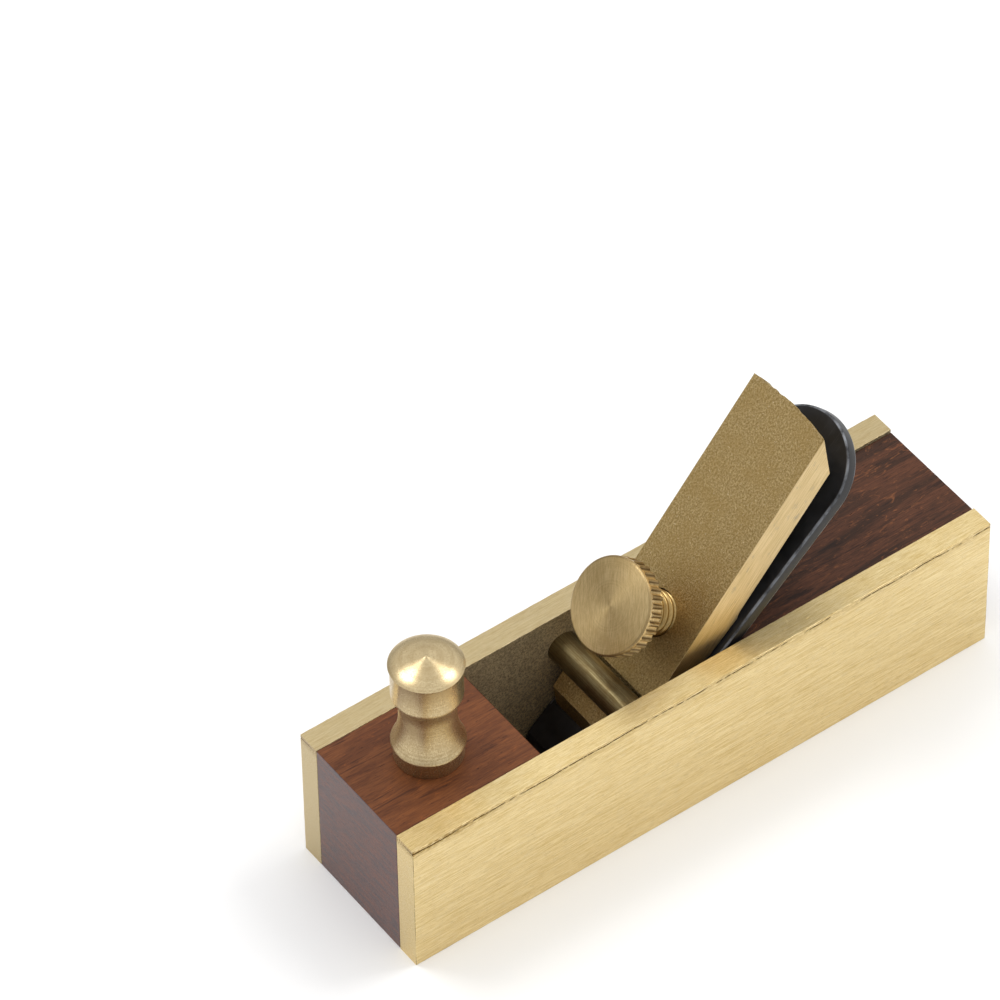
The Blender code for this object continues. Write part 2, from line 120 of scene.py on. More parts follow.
# Lever cap: x runs up the cap from the pin's axis, z is its front normal
SCREW_AXIS = Vector(joint("thumbscrew_turn")["axis"]).normalized()
PIVOT = Vector(joint("lever_cap_pivot")["pos_m"])
CAP_FRAME = joint_frame(PIVOT, Y_AXIS.cross(SCREW_AXIS), SCREW_AXIS)
CAP_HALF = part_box("lever_cap")[1].y
CAP_FRONT = -1.12 * MM
CAP_THICKNESS = 5.0 * MM
CAP_LENGTH = 43.7 * MM
CAP_TOP_SLANT = 4.5 * MM
CAP_CROWN = 0.6 * MM
CAP_NOSE = -5.2 * MM
NOSE_SLANT = 2.45 * MM
NOSE_LAND = 1.3 * MM
CAP_KNEE = 16.4 * MM
CAP_RELIEF = 0.4 * MM
NOSE_GAP = 0.05 * MM
GROOVE_HALF = 2.3 * MM
CAP_EASE = 0.2 * MM
CAP_WOBBLE = 0.22 * MM
CAP_CHIP = 0.35 * MM
CAP_CROWN_REACH = 3.0 * MM

# Cross pin
PIN_LOW, PIN_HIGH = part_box("cross_pin")
PIN_RADIUS = (PIN_HIGH.z - PIN_LOW.z) / 2
PIN_HALF = PIN_HIGH.y
PIN_CHAMFER = 0.3 * MM

# Thumbscrew, whose own z is its axis, from the cap's front face
SCREW_AT = Vector(joint("thumbscrew_turn")["pos_m"])
SCREW_FRAME = joint_frame(SCREW_AT, Y_AXIS.cross(SCREW_AXIS), SCREW_AXIS)
SCREW_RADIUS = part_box("thumbscrew_shank")[1].y
SCREW_PITCH = 1.0 * MM
THREAD_DEPTH = 0.42 * MM
SCREW_TIP = -4.6 * MM
HEAD_TOP = 9.37 * MM
HEAD_THICKNESS = 2.9 * MM
HEAD_RADIUS = 6.25 * MM
HEAD_CHAMFER = 0.22 * MM
HEAD_CHAMFER_HEIGHT = 0.22 * MM
HEAD_SOFT = 0.07 * MM
STUB_RADIUS = 1.9 * MM
STUB_LENGTH = 1.6 * MM
KNURL_TEETH = 34
KNURL_DEPTH = 0.5 * MM
KNURL_START = 0.4 * MM
KNURL_ARCH = 0.6 * MM
KNURL_HALF = 0.45 * MM

# Front knob, with heights above its foot
KNOB_LOW, KNOB_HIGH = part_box("front_knob")
KNOB_HEIGHT = KNOB_HIGH.z - KNOB_LOW.z
KNOB_RIM_RADIUS = 4.74 * MM
KNOB_RIM_TOP = 16.35 * MM
KNOB_RIM_BOTTOM = 16.15 * MM
KNOB_BAND_RADIUS = 4.5 * MM
KNOB_BAND_TOP = 15.9 * MM
KNOB_BAND_BOTTOM = 11.3 * MM
KNOB_WAIST_RADIUS = 3.6 * MM
KNOB_WAIST_HEIGHT = 7.9 * MM
KNOB_FLARE_RADIUS = 4.7 * MM
KNOB_FLARE_HEIGHT = 2.7 * MM
KNOB_FOOT_RADIUS = 4.4 * MM
KNOB_FOOT_HEIGHT = 2.2 * MM
KNOB_DOME_POWER = 1.5
KNOB_DOME_ROLL = 0.35 * MM
KNOB_ROLL_POWER = 8
KNOB_NIPPLE = 0.06 * MM
KNOB_WAIST_POWER = 2.3
KNOB_CURVE_STEPS = 22
KNOB_SOFT = 0.08 * MM


# ---------------------------------------------------------------- meshes

def new_piece(name, bm, material, body, slot_name, *nodes, place=None):
    """The finished object: it rides on its body and stands for its CAD nodes."""
    mesh = bpy.data.meshes.new(name)
    bm.to_mesh(mesh)
    bm.free()
    mesh.materials.append(material)
    obj = bpy.data.objects.new(name, mesh)
    bpy.context.scene.collection.objects.link(obj)
    if place:
        obj.matrix_world = place
    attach(obj, body)
    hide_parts(*nodes)
    return obj


def prism(outline, low, high, upright=True):
    """An outline extruded along Y, or along Z when it lies in the XY plane."""
    bm = bmesh.new()
    if upright:
        ring = [bm.verts.new((x, low, z)) for x, z in outline]
        step = Vector((0.0, high - low, 0.0))
    else:
        ring = [bm.verts.new((x, y, low)) for x, y in outline]
        step = Vector((0.0, 0.0, high - low))
    made = bmesh.ops.extrude_face_region(bm, geom=[bm.faces.new(ring)])
    moved = [v for v in made["geom"] if isinstance(v, bmesh.types.BMVert)]
    bmesh.ops.translate(bm, verts=moved, vec=step)
    bmesh.ops.recalc_face_normals(bm, faces=bm.faces)
    return bm


def everything(bm):
    return bm.verts[:] + bm.edges[:] + bm.faces[:]


def slice_at(bm, axis, places):
    """Cuts the mesh, without parting it, square to an axis (0, 1 or 2) at these places."""
    normal = Vector([float(i == axis) for i in range(3)])
    for place in places:
        bmesh.ops.bisect_plane(bm, geom=everything(bm), plane_co=normal * place, plane_no=normal)


def between(low, high, step):
    """Evenly spaced places inside a range, about this far apart."""
    count = max(1, round((high - low) / step))
    return [low + (high - low) * i / count for i in range(1, count)]


def ease_edges(bm, width, chosen=lambda edge: True, segments=3, wobble=EDGE_WOBBLE):
    """Rounds the sharp edges. The rounded part gets wear 1, and a slight unevenness."""
    wear = bm.verts.layers.float.get("wear") or bm.verts.layers.float.new("wear")
    sharp = [e for e in bm.edges if e.is_manifold and e.calc_face_angle() > 0.5 and chosen(e)]
    made = bmesh.ops.bevel(
        bm, geom=sharp, offset=width, segments=segments, profile=0.6, affect="EDGES",
        clamp_overlap=True,
    )
    rounded = set(made["faces"])
    for face in rounded:
        face.smooth = True
    bm.normal_update()
    inside = [v for v in made["verts"] if all(f in rounded for f in v.link_faces)]
    for vertex in inside:
        vertex[wear] = 1.0
        unevenness = noise.noise(vertex.co * PER_MM * 0.7) + 0.5 * noise.noise(vertex.co * PER_MM * 2.6)
        vertex.co -= vertex.normal * wobble * max(0.0, 0.35 + unevenness)


def ring_mesh(rows, segments, close_low=True):
    """A round mesh from rows, top first: each gives (radius, height) for a turn's share."""
    bm = bmesh.new()
    rings = []
    for row in rows:
        ring = []
        for i in range(segments):
            radius, height = row(i / segments)
            angle = 2 * math.pi * i / segments
            ring.append(bm.verts.new((radius * math.cos(angle), radius * math.sin(angle), height)))
        rings.append(ring)
    for upper, lower in zip(rings, rings[1:]):
        for i in range(segments):
            j = (i + 1) % segments
            bm.faces.new((upper[i], lower[i], lower[j], upper[j])).smooth = True
    bm.faces.new(rings[0]).smooth = False
    if close_low:
        bm.faces.new(reversed(rings[-1])).smooth = False
    bmesh.ops.recalc_face_normals(bm, faces=bm.faces)
    return bm


def turned(profile, segments=128):
    """A plain turned solid from (radius, height) points, top first."""
    return ring_mesh([lambda share, p=point: p for point in profile], segments)


def shares_up_to_one(steps):
    return [step / steps for step in range(1, steps + 1)]


def round_tool(name, radius, half_length, place, segments=64):
    """A cylinder used as a cutter, its axis along its own Z."""
    bm = turned([(radius, half_length), (radius, -half_length)], segments)
    mesh = bpy.data.meshes.new(name)
    bm.to_mesh(mesh)
    bm.free()
    tool = bpy.data.objects.new(name, mesh)
    bpy.context.scene.collection.objects.link(tool)
    tool.matrix_world = place
    tool.hide_render = True
    return tool


def cut(obj, tool):
    """Cuts the tool out of the object's mesh for good, and removes the tool."""
    modifier = obj.modifiers.new("cut", "BOOLEAN")
    modifier.object = tool
    modifier.solver = "MANIFOLD"
    bpy.context.view_layer.update()
    graph = bpy.context.evaluated_depsgraph_get()
    mesh = bpy.data.meshes.new_from_object(obj.evaluated_get(graph))
    obj.modifiers.clear()
    obj.data = mesh
    bpy.data.objects.remove(tool, do_unlink=True)


def across(x, z, half_turn=math.pi / 2):
    """A place whose Z axis lies along Y."""
    return Matrix.Translation((x, 0.0, z)) @ Matrix.Rotation(half_turn, 4, "X")


# ---------------------------------------------------------------- material nodes

def node(tree, kind, inputs=None, **settings):
    """A shader node with its settings, and its inputs given as values or as sockets."""
    made = tree.nodes.new("ShaderNode" + kind)
    for name, value in settings.items():
        setattr(made, name, value)
    for key, value in (inputs or {}).items():
        if isinstance(value, bpy.types.NodeSocket):
            tree.links.new(value, made.inputs[key])
        else:
            made.inputs[key].default_value = value
    return made


def millimetres(tree, stretch=(1.0, 1.0, 1.0), offset=(0.0, 0.0, 0.0)):
    """The piece's own coordinates, in millimetres, stretched per axis."""
    place = node(tree, "TexCoord").outputs["Object"]
    scale = tuple(PER_MM * s for s in stretch)
    return node(tree, "Mapping", {"Vector": place, "Scale": scale, "Location": offset}).outputs[0]


def grain(tree, stretch, detail=4.0, rough=0.55, bend=0.0, offset=(0.0, 0.0, 0.0)):
    """Noise from 0 to 1, with this many features to the millimetre along each axis."""
    where = millimetres(tree, stretch, offset)
    made = node(tree, "TexNoise", {"Vector": where, "Scale": 1.0, "Detail": detail,
                                   "Roughness": rough, "Distortion": bend})
    return made.outputs["Fac"]


def spread(tree, value, low, high, to_low=0.0, to_high=1.0, smooth=True):
    """The value with one range stretched to another, and held at its ends."""
    made = node(tree, "MapRange", {"Value": value, "From Min": low, "From Max": high,
                                   "To Min": to_low, "To Max": to_high})
    made.interpolation_type = "SMOOTHSTEP" if smooth else "LINEAR"
    return made.outputs["Result"]


def maths(tree, operation, a, b=0.0, clamp=False):
    return node(tree, "Math", {0: a, 1: b}, operation=operation, use_clamp=clamp).outputs[0]


def times(tree, a, b, clamp=False):
    return maths(tree, "MULTIPLY", a, b, clamp)


def plus(tree, a, b):
    return maths(tree, "ADD", a, b)


def minus(tree, a, b):
    return maths(tree, "SUBTRACT", a, b)


def blend(tree, share, first, second):
    """A mix of two colours, each a socket or an (r, g, b)."""
    made = node(tree, "Mix", {0: share}, data_type="RGBA")
    for index, colour in ((6, first), (7, second)):
        if isinstance(colour, bpy.types.NodeSocket):
            tree.links.new(colour, made.inputs[index])
        else:
            made.inputs[index].default_value = (*colour, 1.0)
    return made.outputs[2]


def painted(tree, name):
    """A value that the mesh carries at each vertex."""
    return node(tree, "Attribute", attribute_name=name).outputs["Fac"]


def own_axis(tree, axis):
    """The piece's own x, y or z (0, 1 or 2), in metres."""
    place = node(tree, "TexCoord").outputs["Object"]
    return node(tree, "SeparateXYZ", {0: place}).outputs[axis]


def bumped(tree, height, strength, depth):
    """A normal tilted by this height, where 1 stands for the depth."""
    return node(tree, "Bump", {"Height": height, "Strength": strength, "Distance": depth}).outputs[0]


def finish_material(name, build, **fixed):
    """A material whose build(tree) gives sockets for the shader, and fixed values for the rest."""
    material = bpy.data.materials.new(name)
    material.use_nodes = True
    tree = material.node_tree
    shader = tree.nodes["Principled BSDF"]
    for key, value in fixed.items():
        shader.inputs[key.replace("_", " ")].default_value = value
    for key, socket in build(tree).items():
        tree.links.new(socket, shader.inputs[key])
    return material


# ---------------------------------------------------------------- materials

PALE_BRASS = (0.87, 0.715, 0.40)
OCHRE_BRASS = (0.61, 0.435, 0.16)
BROWN_BRASS = (0.36, 0.235, 0.085)
DULL_BRASS = (0.75, 0.62, 0.37)
PAINTED_PLATE_SHADE = (0.30, 0.25, 0.17)
# painted shade: the grey-brown that the far plate is darkened towards
PIT_BROWN = (0.34, 0.20, 0.045)
STAIN_OCHRE = (0.48, 0.32, 0.10)
BURR_DARK = (0.10, 0.058, 0.018)
# painted shade in the knurl's grooves and on the head's face edge and teeth
KNURL_PAINTED_SHADE = (0.10, 0.06, 0.025)
SAND_DARK = (0.20, 0.14, 0.065)
SAND_BRIGHT = (0.95, 0.76, 0.42)
CAST_DEEP = (0.30, 0.20, 0.072)
CAST_PALE = (0.60, 0.445, 0.21)
CAST_PATCH = (0.40, 0.265, 0.09)
CAST_PAINTED_GLINT = (0.95, 0.82, 0.55)
SIDE_PALE = (0.72, 0.56, 0.31)
SIDE_DEEP = (0.52, 0.38, 0.17)
SIDE_SMUDGE = (0.36, 0.30, 0.22)
RUBBED_EDGE_AND_HIGHLIGHT = (0.92, 0.78, 0.50)
STAINED_EDGE = (0.24, 0.15, 0.07)
FACE_PALE = (0.73, 0.55, 0.28)
FACE_DEEP = (0.50, 0.35, 0.15)
# the shank's brass, darkened as painted shade under the head
THREAD_SHADED_PALE = (0.54, 0.39, 0.165)
THREAD_SHADED_DEEP = (0.34, 0.22, 0.08)
KNOB_PALE = (0.70, 0.57, 0.34)
KNOB_DEEP = (0.48, 0.36, 0.19)
# the pin's brass, darkened as painted shade of its place between the plates
PIN_SHADED_PALE = (0.25, 0.20, 0.10)
PIN_SHADED_DEEP = (0.14, 0.10, 0.042)
PIN_STAIN = (0.14, 0.09, 0.035)
PORE = (0.012, 0.005, 0.004)
END_GREY = (0.080, 0.054, 0.058)
END_RED = (0.175, 0.066, 0.042)
END_DOT = (0.025, 0.016, 0.019)
BLACK_DEEP = (0.010, 0.010, 0.011)
BLACK_PALE = (0.022, 0.022, 0.024)
STEEL_SCRATCH = (0.10, 0.105, 0.115)
STEEL_RUBBED_AND_HIGHLIGHT = (0.20, 0.21, 0.23)
FLOOR_WHITE = (0.94, 0.94, 0.94)
FLOOR_PALE = (0.96, 0.96, 0.96)


def sandy_brass(tree):
    """Rough inner faces, as cast: coarse grains, some of them bright. Gives colour and height."""
    sand = grain(tree, (4.0, 4.0, 4.0), detail=4.0, rough=0.75)
    colour = blend(tree, spread(tree, sand, 0.36, 0.66), SAND_DARK, SAND_BRIGHT)
    return colour, sand


def top_edge_stains(tree, colour, shift):
    """Adds ochre pits below the top edge, most of them at the toe, and stains on the top face."""
    height = own_axis(tree, 2)
    on_top = maths(tree, "GREATER_THAN", height, TOP_Z - 0.02 * MM)
    near_edge = spread(tree, height, TOP_Z - PITS_BELOW, TOP_Z - BURR_DROP)
    near_edge = times(tree, near_edge, minus(tree, 1.0, on_top))
    near_toe = spread(tree, own_axis(tree, 0), TOE_X + 4 * MM, TOE_X + 16 * MM, 1.0, 0.4)
    pitted = grain(tree, (1.1, 4.5, 4.5), detail=5.0, rough=0.75, offset=(4.0, 1.0, 9.0))
    pitted = times(tree, spread(tree, pitted, 0.42, 0.54), times(tree, near_edge, near_toe))
    colour = blend(tree, times(tree, pitted, 0.9), colour, PIT_BROWN)
    stain = grain(tree, (0.55, 7.0, 7.0), detail=5.0, rough=0.75, offset=shift)
    stain = times(tree, spread(tree, stain, 0.46, 0.62), times(tree, on_top, 0.4))
    return blend(tree, stain, colour, STAIN_OCHRE)


def brushed_brass(tree, seed, painted_shade):
    """Plate brass: short sanding scratches, ochre specks, pits and dark burrs at the edges, and a share
    of painted shade over the whole plate.
    """
    shift = (seed, 2 * seed, 3 * seed)
    fine = grain(tree, (0.4, 10.0, 10.0), detail=4.0, rough=0.8, offset=shift)
    broad = grain(tree, (0.11, 5.0, 5.0), detail=5.0, rough=0.8, offset=shift)
    blotch = grain(tree, (0.5, 1.1, 1.1), detail=5.0, rough=0.65, offset=shift)
    speck = grain(tree, (1.3, 6.0, 6.0), detail=3.0, rough=0.7, offset=shift)
    speck = spread(tree, speck, 0.58, 0.68)
    streaks = plus(tree, times(tree, fine, 0.65), times(tree, broad, 0.35))
    colour = blend(tree, spread(tree, streaks, 0.38, 0.66), PALE_BRASS, OCHRE_BRASS)
    colour = blend(tree, spread(tree, blotch, 0.45, 0.75, 0.0, 0.4), colour, DULL_BRASS)
    colour = blend(tree, times(tree, speck, 0.32), colour, BROWN_BRASS)

    colour = top_edge_stains(tree, colour, shift)
    side = maths(tree, "ABSOLUTE", own_axis(tree, 1))
    inner = maths(tree, "LESS_THAN", side, INNER_Y + 0.02 * MM)
    sandy, sand = sandy_brass(tree)
    colour = blend(tree, inner, colour, sandy)
    # painted shade over the whole plate, this share of the way to a grey-brown
    colour = blend(tree, painted_shade, colour, PAINTED_PLATE_SHADE)

    ragged = spread(tree, grain(tree, (2.2, 6.0, 6.0), detail=3.0), 0.30, 0.52)
    opened = spread(tree, painted(tree, "grime_and_shade"), 0.08, 0.4)
    burr = times(tree, opened, ragged, clamp=True)
    # the burr's line is coloured dark brown
    colour = blend(tree, burr, colour, BURR_DARK)

    rough = spread(tree, streaks, 0.3, 0.7, 0.33, 0.47, smooth=False)
    rough = plus(tree, rough, times(tree, inner, 0.05))
    sandy_relief = times(tree, inner, times(tree, sand, 5.0))
    relief = plus(tree, streaks, sandy_relief)
    relief = minus(tree, relief, times(tree, speck, 0.8))
    metal = spread(tree, inner, 0.0, 1.0, 1.0, 0.35, smooth=False)
    return {"Base Color": colour, "Roughness": rough, "Metallic": metal,
            "Normal": bumped(tree, relief, 0.5, 0.025 * MM)}


def cast_front(tree, sand):
    """The cap's sand-blasted colour: mottled, with irregular bright specks painted as glints."""
    patch = grain(tree, (0.3, 0.3, 0.3), detail=5.0, rough=0.6)
    speck = grain(tree, (2.8, 2.8, 2.8), detail=6.0, rough=0.8, offset=(9.0, 4.0, 2.0))
    speck = times(tree, spread(tree, speck, 0.60, 0.68), 0.75)
    front = blend(tree, spread(tree, sand, 0.36, 0.66), CAST_DEEP, CAST_PALE)
    front = blend(tree, spread(tree, patch, 0.42, 0.68, 0.0, 0.4), front, CAST_PATCH)
    # painted glints: sparse bright specks in the colour
    return blend(tree, speck, front, CAST_PAINTED_GLINT)


def cast_side(tree, streaks):
    """The cap's brushed side colour, with grey smudges."""
    brushed = blend(tree, spread(tree, streaks, 0.35, 0.7), SIDE_PALE, SIDE_DEEP)
    smudge = grain(tree, (0.45, 0.7, 0.7), detail=6.0, rough=0.7, offset=(3.0, 7.0, 1.0))
    return blend(tree, spread(tree, smudge, 0.56, 0.70, 0.0, 0.6), brushed, SIDE_SMUDGE)


def cast_brass(tree):
    """Lever cap: blasted front, brushed sides, edges rubbed bright in places with painted highlight,
    stained in others.
    """
    sand = grain(tree, (3.6, 3.6, 3.6), detail=5.0, rough=0.75)
    streaks = grain(tree, (0.2, 7.0, 7.0), detail=5.0, rough=0.65)
    side = maths(tree, "ABSOLUTE", own_axis(tree, 1))
    is_side = maths(tree, "GREATER_THAN", side, CAP_HALF - 0.03 * MM)
    colour = blend(tree, is_side, cast_front(tree, sand), cast_side(tree, streaks))

    # worn edges lightened in patches: wear and painted highlight together
    worn = painted(tree, "wear")
    rubbed_and_highlight = grain(tree, (1.6, 1.6, 1.6), detail=4.0, offset=(2.0, 2.0, 6.0))
    rubbed_and_highlight = times(tree, worn, spread(tree, rubbed_and_highlight, 0.38, 0.62))
    colour = blend(tree, times(tree, rubbed_and_highlight, 0.75), colour, RUBBED_EDGE_AND_HIGHLIGHT)
    stained = grain(tree, (0.9, 0.9, 0.9), detail=5.0, rough=0.7, offset=(7.0, 3.0, 1.0))
    stained = times(tree, worn, spread(tree, stained, 0.46, 0.60))
    colour = blend(tree, times(tree, stained, 0.7), colour, STAINED_EDGE)

    rough = plus(tree, spread(tree, sand, 0.3, 0.7, 0.38, 0.5), times(tree, is_side, -0.02))
    blasted = times(tree, sand, minus(tree, 1.0, is_side))
    height = plus(tree, times(tree, blasted, 3.0), times(tree, streaks, 0.4))
    return {"Base Color": colour, "Roughness": rough,
            "Normal": bumped(tree, height, 0.5, 0.04 * MM)}


def radius_in_mm(tree):
    """The distance from the piece's own Z axis, in millimetres."""
    flat = node(tree, "VectorMath", {0: millimetres(tree), 1: (1.0, 1.0, 0.0)}, operation="MULTIPLY")
    return node(tree, "VectorMath", {0: flat.outputs[0]}, operation="LENGTH").outputs["Value"]


def rings_along(tree, value, count, detail=3.0):
    """Noise that changes only with this value: turning marks."""
    made = node(tree, "TexNoise", {"W": value, "Scale": count, "Detail": detail, "Roughness": 0.7},
                noise_dimensions="1D")
    return made.outputs["Fac"]


def turned_grain(tree, stretch, angle):
    """Fine scratches in one direction, turned by this angle about the piece's own Z."""
    place = node(tree, "TexCoord").outputs["Object"]
    aligned = node(tree, "VectorRotate", {"Vector": place, "Angle": angle}, rotation_type="Z_AXIS")
    scale = tuple(PER_MM * s for s in stretch)
    where = node(tree, "Mapping", {"Vector": aligned.outputs[0], "Scale": scale}).outputs[0]
    made = node(tree, "TexNoise", {"Vector": where, "Scale": 1.0, "Detail": 3.0, "Roughness": 0.75})
    return made.outputs["Fac"]


def turned_brass(tree, pale, deep, rough, rings, ringed, scratched, angle=0.0, facing=False):
    """Lathe-turned brass: faint rings, stray scratches, specks, a little tarnish, and painted shade
    where the mesh carries it.

    rings: rings to the millimetre, out from the axis on a facing cut, else along it.
    ringed: the rings' share in the marks, the rest being scratches.
    """
    place = radius_in_mm(tree) if facing else times(tree, own_axis(tree, 2), PER_MM)
    marks = plus(tree, times(tree, rings_along(tree, place, rings), ringed),
                 times(tree, turned_grain(tree, scratched, angle), 1 - ringed))
    tarnish = grain(tree, (0.4, 0.4, 0.4), detail=6.0, rough=0.65)
    fleck = grain(tree, (3.2, 3.2, 3.2), detail=4.0, rough=0.7, offset=(5.0, 1.0, 8.0))
    fleck = times(tree, spread(tree, fleck, 0.58, 0.72), 0.35)
    colour = blend(tree, spread(tree, marks, 0.34, 0.68), pale, deep)
    colour = blend(tree, spread(tree, tarnish, 0.45, 0.72, 0.0, 0.6), colour, deep)
    colour = blend(tree, fleck, colour, BROWN_BRASS)
    # painted shade on the knurled head, where its mesh carries it
    colour = blend(tree, times(tree, painted(tree, "grime_and_shade"), 0.9), colour, KNURL_PAINTED_SHADE)
    roughness = plus(tree, spread(tree, marks, 0.3, 0.7, *rough, smooth=False),
                     spread(tree, tarnish, 0.5, 0.8, 0.0, 0.08))
    return {"Base Color": colour, "Roughness": roughness,
            "Normal": bumped(tree, marks, 0.25, 0.014 * MM),
            "Tangent": node(tree, "Tangent", direction_type="RADIAL", axis="Z").outputs[0]}


def drawn_brass(tree):
    """Pin: dull drawn rod, streaked along its own Z with brown grime, its colours darkened as painted
    shade of its place between the plates.
    """
    streak = grain(tree, (5.0, 5.0, 0.14), detail=5.0, rough=0.7)
    stain = grain(tree, (0.8, 0.8, 0.5), detail=5.0, rough=0.65)
    colour = blend(tree, spread(tree, streak, 0.34, 0.66), PIN_SHADED_PALE, PIN_SHADED_DEEP)
    colour = blend(tree, spread(tree, stain, 0.42, 0.66, 0.0, 0.6), colour, PIN_STAIN)
    rough = spread(tree, streak, 0.3, 0.7, 0.40, 0.55)
    return {"Base Color": colour, "Roughness": rough, "Normal": bumped(tree, streak, 0.4, 0.02 * MM)}


def end_grain(tree, shift):
    """A block's end face: greyish and reddish rays with dark dots. Gives colour and height."""
    ray = grain(tree, (1.0, 0.45, 4.5), detail=5.0, rough=0.7, offset=shift)
    dot = grain(tree, (4.0, 3.0, 4.0), detail=3.0, rough=0.7, offset=shift)
    dot = spread(tree, dot, 0.5, 0.68)
    colour = blend(tree, spread(tree, ray, 0.38, 0.62), END_GREY, END_RED)
    colour = blend(tree, times(tree, dot, 0.65), colour, END_DOT)
    return colour, minus(tree, ray, dot)


def rosewood(tree, dark, mid, light, glow, seed, end_x):
    """Oiled rosewood, its grain along X: dark figure, warm flecks, fine pores, greyish ends."""
    shift = (seed, 3 * seed, 2 * seed)
    figure = grain(tree, (0.05, 0.42, 0.30), detail=6.0, rough=0.6, bend=1.2, offset=shift)
    fibre = grain(tree, (0.5, 6.5, 6.5), detail=4.0, rough=0.7, offset=shift)
    line = grain(tree, (0.09, 1.1, 0.9), detail=6.0, rough=0.65, bend=1.0, offset=shift)
    pore = grain(tree, (0.7, 4.6, 4.6), detail=3.0, rough=0.6, offset=shift)
    pore = spread(tree, pore, 0.65, 0.71)
    warm = grain(tree, (0.45, 1.3, 1.3), detail=6.0, rough=0.7, bend=1.5, offset=shift)
    colour = blend(tree, spread(tree, figure, 0.36, 0.62), mid, light)
    colour = blend(tree, times(tree, spread(tree, warm, 0.54, 0.70), 0.65), colour, glow)
    colour = blend(tree, spread(tree, fibre, 0.42, 0.68, 0.0, 0.55), colour, dark)
    colour = blend(tree, times(tree, spread(tree, line, 0.55, 0.66), 0.8), colour, dark)
    colour = blend(tree, times(tree, pore, 0.85), colour, PORE)

    from_end = maths(tree, "ABSOLUTE", minus(tree, own_axis(tree, 0), end_x))
    end = maths(tree, "LESS_THAN", from_end, 0.6 * BLOCK_EASE)
    end_colour, end_height = end_grain(tree, shift)
    colour = blend(tree, end, colour, end_colour)

    rough = plus(tree, spread(tree, fibre, 0.3, 0.7, 0.38, 0.5), times(tree, pore, 0.3))
    height = minus(tree, times(tree, fibre, 0.35), pore)
    height = plus(tree, height, times(tree, end, end_height))
    gloss = spread(tree, end, 0.0, 1.0, 0.2, 0.62, smooth=False)
    return {"Base Color": colour, "Roughness": rough, "Specular IOR Level": gloss,
            "Normal": bumped(tree, height, 0.35, 0.05 * MM)}


def black_steel(tree):
    """Blackened blade steel: faint lengthwise scratches and rubbed, bluish edges, lightened as wear and
    painted highlight.
    """
    scratch = spread(tree, grain(tree, (0.12, 7.0, 7.0), detail=4.0, rough=0.7), 0.60, 0.72)
    cloud = grain(tree, (0.25, 0.25, 0.25), detail=5.0)
    colour = blend(tree, spread(tree, cloud, 0.35, 0.7), BLACK_DEEP, BLACK_PALE)
    colour = blend(tree, times(tree, scratch, 0.25), colour, STEEL_SCRATCH)
    chipped = spread(tree, grain(tree, (0.3, 0.5, 0.5), detail=6.0, rough=0.65), 0.34, 0.62)
    # lighter rounded edges: wear and painted highlight together
    rub_and_highlight = times(tree, painted(tree, "wear"), chipped)
    colour = blend(tree, times(tree, rub_and_highlight, 0.9), colour, STEEL_RUBBED_AND_HIGHLIGHT)
    rough = spread(tree, cloud, 0.3, 0.7, 0.34, 0.46)
    return {"Base Color": colour, "Roughness": rough, "Normal": bumped(tree, scratch, 0.1, 0.01 * MM)}


def floor_paint(tree):
    """A plain pale floor with the faintest mottling."""
    cloud = grain(tree, (0.01, 0.01, 0.01), detail=3.0)
    return {"Base Color": blend(tree, cloud, FLOOR_WHITE, FLOOR_PALE)}


NEAR_PLATE = finish_material("near_plate_brass", lambda t: brushed_brass(t, 1.0, 0.0), Metallic=1.0)
# the far plate is darkened half way to a grey-brown: painted shade
FAR_PLATE = finish_material("far_plate_brass_painted_shade", lambda t: brushed_brass(t, 7.0, 0.5), Metallic=1.0)
CAP_BRASS = finish_material("cap_brass", cast_brass, Metallic=1.0)
FACE_BRASS = finish_material(
    "screw_face_brass",
    lambda t: turned_brass(t, FACE_PALE, FACE_DEEP, rough=(0.36, 0.48), rings=5.0, ringed=0.2,
                           scratched=(0.7, 9.0, 2.0), angle=math.radians(-36.0), facing=True),
    Metallic=1.0, Anisotropic=0.6, Anisotropic_Rotation=0.25,
)
# the shank's colours carry painted shade from the head above it
THREAD_SHADED_BRASS = finish_material(
    "screw_thread_brass_painted_shade",
    lambda t: turned_brass(t, THREAD_SHADED_PALE, THREAD_SHADED_DEEP, rough=(0.26, 0.36), rings=6.0, ringed=0.6,
                           scratched=(4.0, 4.0, 4.0), facing=True),
    Metallic=1.0,
)
KNOB_BRASS = finish_material(
    "knob_brass",
    lambda t: turned_brass(t, KNOB_PALE, KNOB_DEEP, rough=(0.24, 0.33), rings=4.0, ringed=0.3,
                           scratched=(6.0, 6.0, 3.0)),
    Metallic=1.0, Anisotropic=0.7, Anisotropic_Rotation=0.25,
)
PIN_SHADED_BRASS = finish_material("pin_brass_painted_shade", drawn_brass, Metallic=1.0)
TOE_WOOD = finish_material(
    "toe_rosewood",
    lambda t: rosewood(t, dark=(0.050, 0.016, 0.008), mid=(0.125, 0.040, 0.014),
                       light=(0.19, 0.064, 0.021), glow=(0.27, 0.082, 0.022), seed=2.0, end_x=TOE_X),
)
HEEL_WOOD = finish_material(
    "heel_rosewood",
    lambda t: rosewood(t, dark=(0.016, 0.007, 0.005), mid=(0.045, 0.019, 0.010),
                       light=(0.105, 0.038, 0.018), glow=(0.30, 0.105, 0.036), seed=5.0, end_x=HEEL_X),
)
STEEL = finish_material("blackened_steel", black_steel, Metallic=0.35)
FLOOR = finish_material("floor", floor_paint, Roughness=0.9)


# ---------------------------------------------------------------- pieces

